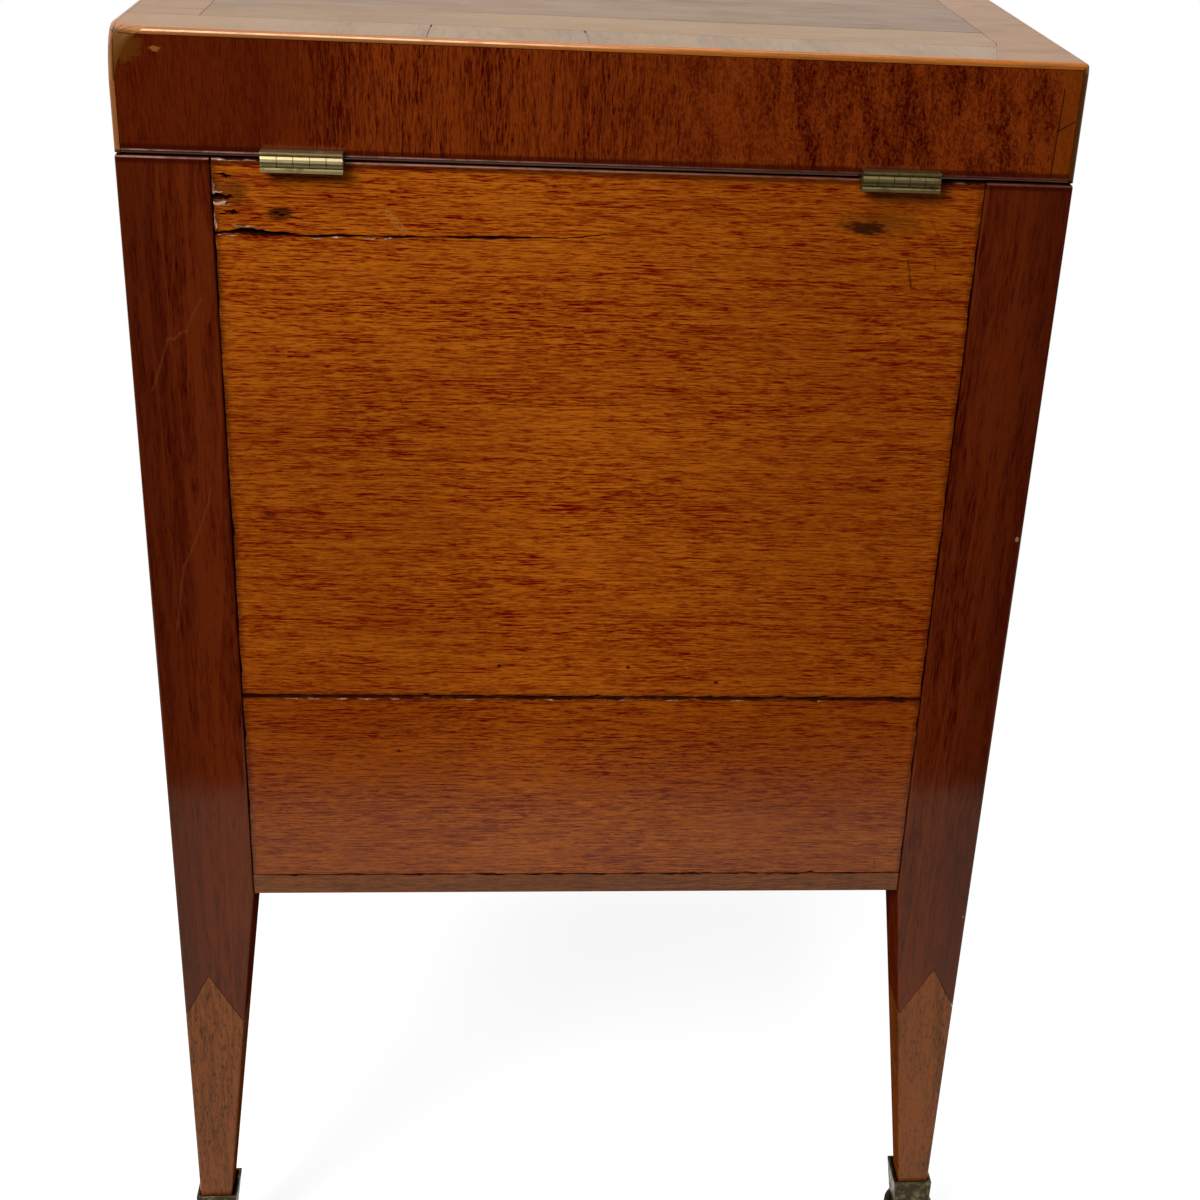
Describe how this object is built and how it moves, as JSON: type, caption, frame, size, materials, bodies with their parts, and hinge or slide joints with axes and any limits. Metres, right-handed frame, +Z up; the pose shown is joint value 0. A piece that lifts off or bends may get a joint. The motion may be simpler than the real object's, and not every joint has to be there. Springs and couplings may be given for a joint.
{
  "type": "cellarette on legs",
  "caption": "Square wine cellarette with a hinged lid over a divided bottle well and a drawer, on tapered legs with brass castors.",
  "frame": {"origin": "on the floor under the middle of the case", "axes": "+Z up, the front with lock and drawer faces -Y, the hinged back faces +Y, +X to the right of someone in front of it"},
  "size_m": [0.4712, 0.468, 0.7601],
  "materials": {
    "dark_mahogany": "aged french polish, dark red brown",
    "lid_mahogany": "aged french polish, upright crossbanded grain",
    "case_mahogany": "aged french polish, orange brown with dark pores",
    "spliced_mahogany": "paler repair wood, thin polish",
    "boxwood": "polished stringing",
    "poplar": "bare, toned with age",
    "brass": "old brass with brown patina",
    "lock_iron": "dark worn iron"
  },
  "bodies": {
    "case": {"back_lower_board": "case_mahogany", "back_upper_board": "case_mahogany", "bottom_board": "case_mahogany", "castor_cup_back_left": "brass", "castor_cup_back_right": "brass", "castor_cup_front_left": "brass", "castor_cup_front_right": "brass", "cross_divider_1": "poplar", "cross_divider_2": "poplar", "drawer_guide_left": "poplar", "drawer_guide_right": "poplar", "drawer_rail": "case_mahogany", "escutcheon": "brass", "front_board": "case_mahogany", "hinge_left_case_leaf": "brass", "hinge_left_pin": "brass", "hinge_right_case_leaf": "brass", "hinge_right_pin": "brass", "kicker_left": "poplar", "kicker_right": "poplar", "left_side_board": "case_mahogany", "leg_tip_back_left": "spliced_mahogany", "leg_tip_back_right": "spliced_mahogany", "leg_tip_front_left": "spliced_mahogany", "leg_tip_front_right": "spliced_mahogany", "lock_case": "lock_iron", "long_divider_1": "poplar", "long_divider_2": "poplar", "post_back_left": "dark_mahogany", "post_back_right": "dark_mahogany", "post_front_left": "dark_mahogany", "post_front_right": "dark_mahogany", "right_side_board": "case_mahogany", "well_floor": "poplar"},
    "lid": {"hinge_left_lid_leaf": "brass", "hinge_right_lid_leaf": "brass", "lid_edge_string": "boxwood", "lid_rail_back": "lid_mahogany", "lid_rail_front": "lid_mahogany", "lid_rail_left": "lid_mahogany", "lid_rail_right": "lid_mahogany", "lid_top_board": "lid_mahogany", "lock_strike": "brass"},
    "drawer": {"drawer_back": "poplar", "drawer_bottom": "poplar", "drawer_front": "lid_mahogany", "drawer_knob_left": "brass", "drawer_knob_right": "brass", "drawer_left_side": "poplar", "drawer_right_side": "poplar"},
    "bolt": {"lock_bolt": "brass"},
    "swivel_back_left": {"castor_yoke_back_left": "brass"},
    "wheel_back_left": {"castor_wheel_back_left": "brass"},
    "swivel_back_right": {"castor_yoke_back_right": "brass"},
    "wheel_back_right": {"castor_wheel_back_right": "brass"},
    "swivel_front_left": {"castor_yoke_front_left": "brass"},
    "wheel_front_left": {"castor_wheel_front_left": "brass"},
    "swivel_front_right": {"castor_yoke_front_right": "brass"},
    "wheel_front_right": {"castor_wheel_front_right": "brass"}
  },
  "joints": [
    {"name": "lid_hinge", "type": "hinge", "parent": "case", "child": "lid", "pos_m": [0, 0.2262, 0.70235], "axis": [-1, 0, 0], "range_deg": [0, 100]},
    {"name": "drawer_slide", "type": "slide", "parent": "case", "child": "drawer", "axis": [0, -1, 0], "range_m": [0, 0.28]},
    {"name": "bolt_slide", "type": "slide", "parent": "case", "child": "bolt", "axis": [1, 0, 0], "range_m": [0, 0.006]},
    {"name": "castor_back_left_swivel", "type": "hinge", "parent": "case", "child": "swivel_back_left", "pos_m": [-0.2201, 0.2141, 0.0325], "axis": [0, 0, 1], "continuous": true},
    {"name": "castor_back_left_roll", "type": "hinge", "parent": "swivel_back_left", "child": "wheel_back_left", "pos_m": [-0.2201, 0.2011, 0.014], "axis": [1, 0, 0], "continuous": true},
    {"name": "castor_back_right_swivel", "type": "hinge", "parent": "case", "child": "swivel_back_right", "pos_m": [0.2201, 0.2141, 0.0325], "axis": [0, 0, 1], "continuous": true},
    {"name": "castor_back_right_roll", "type": "hinge", "parent": "swivel_back_right", "child": "wheel_back_right", "pos_m": [0.2201, 0.2011, 0.014], "axis": [1, 0, 0], "continuous": true},
    {"name": "castor_front_left_swivel", "type": "hinge", "parent": "case", "child": "swivel_front_left", "pos_m": [-0.2201, -0.2141, 0.0325], "axis": [0, 0, 1], "continuous": true},
    {"name": "castor_front_left_roll", "type": "hinge", "parent": "swivel_front_left", "child": "wheel_front_left", "pos_m": [-0.2201, -0.2011, 0.014], "axis": [1, 0, 0], "continuous": true},
    {"name": "castor_front_right_swivel", "type": "hinge", "parent": "case", "child": "swivel_front_right", "pos_m": [0.2201, -0.2141, 0.0325], "axis": [0, 0, 1], "continuous": true},
    {"name": "castor_front_right_roll", "type": "hinge", "parent": "swivel_front_right", "child": "wheel_front_right", "pos_m": [0.2201, -0.2011, 0.014], "axis": [1, 0, 0], "continuous": true}
  ]
}
